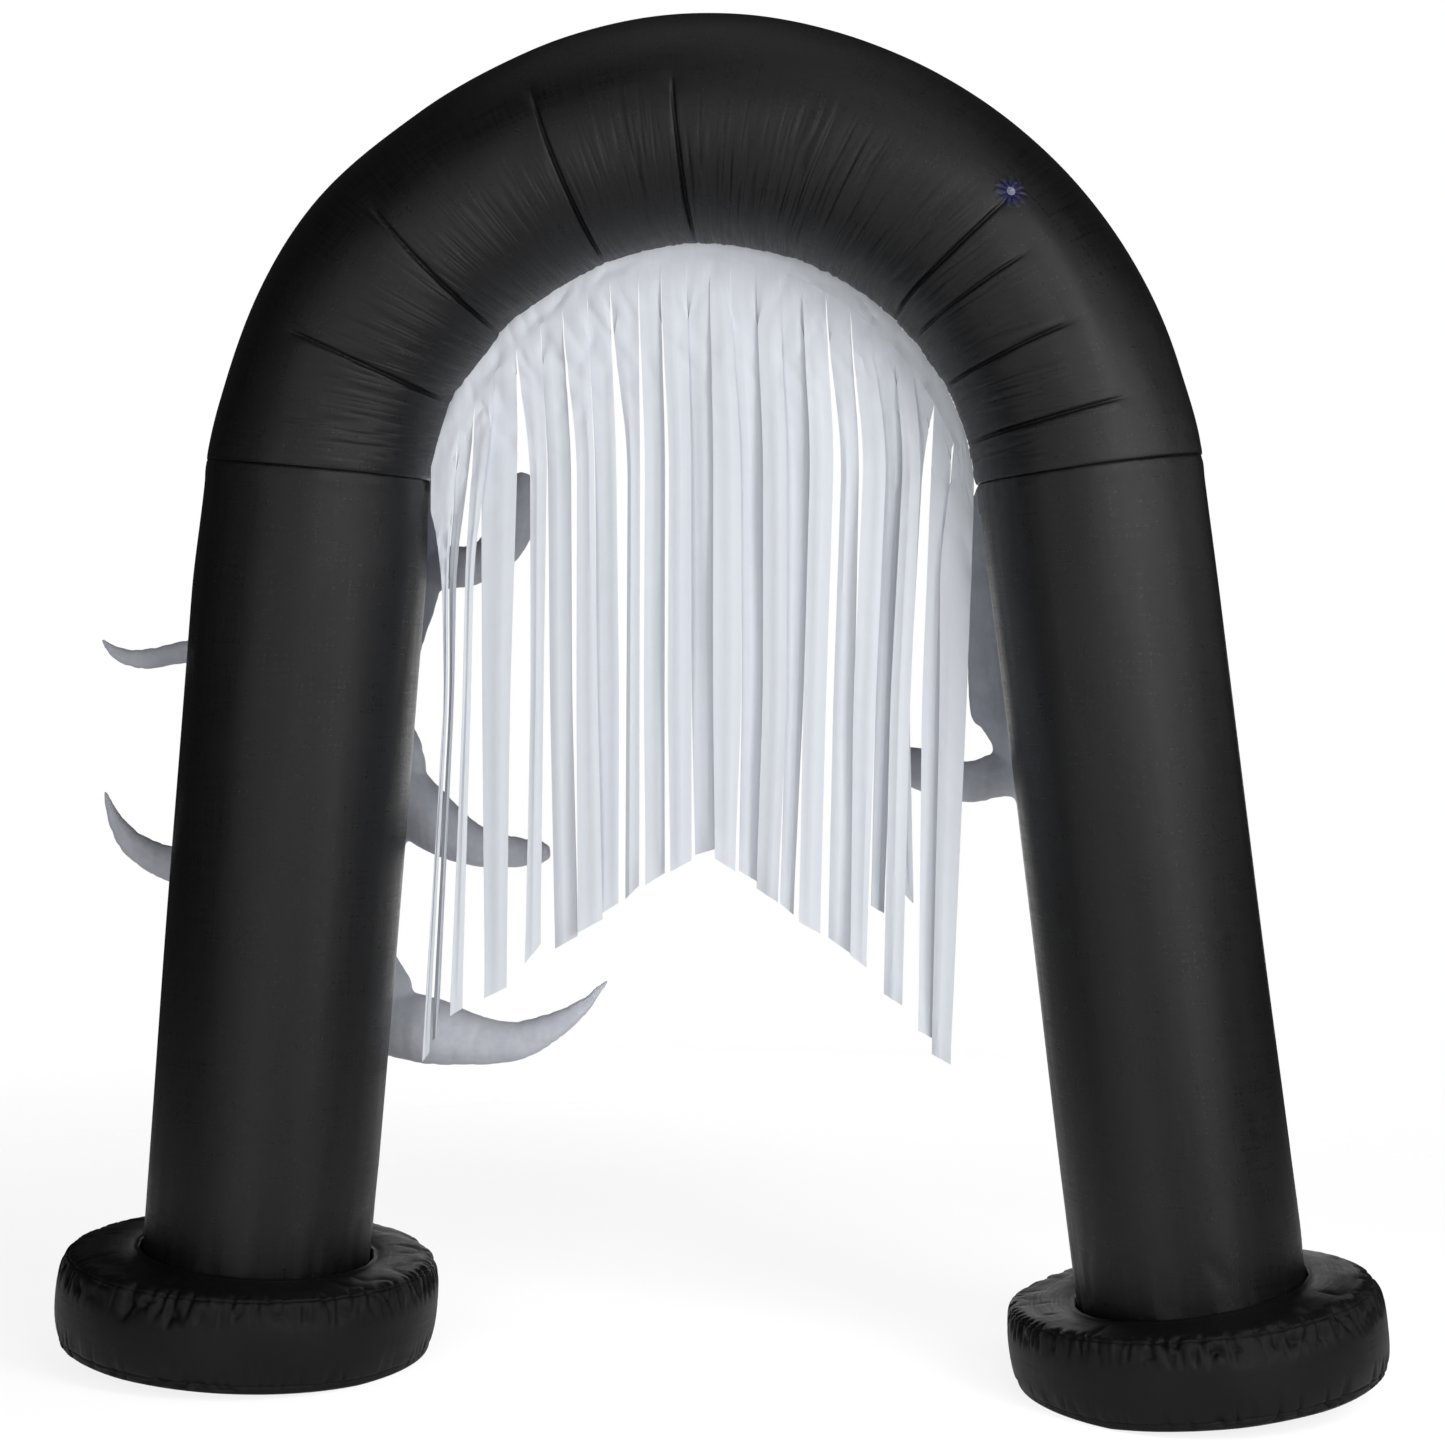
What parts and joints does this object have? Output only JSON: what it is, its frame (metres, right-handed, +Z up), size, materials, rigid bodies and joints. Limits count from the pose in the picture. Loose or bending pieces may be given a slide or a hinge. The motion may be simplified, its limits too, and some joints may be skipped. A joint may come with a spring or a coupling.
{
  "type": "inflatable arch",
  "caption": "Walk-through inflatable arch of black cloth on fat base rings, with a white streamer curtain inside and plain pale inflated figures on the far side of its legs.",
  "frame": {"origin": "on the floor, midway between the outer sides of the two base rings, under the middle plane of the tube", "axes": "+Z up, +X to the right as seen from the plain back of the arch, +Y through the arch towards the side that carries the figures"},
  "size_m": [2.7244, 0.788, 2.7439],
  "materials": {
    "black_cloth": "black woven nylon, fine weave, soft sheen",
    "black_base_cloth": "black woven nylon, gathered at the seams",
    "white_streamer": "white thin cloth, faintly bluish",
    "pale_cloth": "white nylon seen in shade, lavender grey",
    "clear_lamp": "clear glossy dome with a violet tint",
    "beige_tab": "bare beige ribbon"
  },
  "bodies": {
    "root": {"leg_left": "black_cloth", "leg_right": "black_cloth", "arch_top": "black_cloth", "base_ring_left": "black_base_cloth", "base_ring_right": "black_base_cloth", "curtain": "white_streamer", "figure_left_upper": "pale_cloth", "figure_left_lower": "pale_cloth", "figure_right": "pale_cloth", "led_light": "clear_lamp", "side_tab": "beige_tab"}
  },
  "joints": []
}
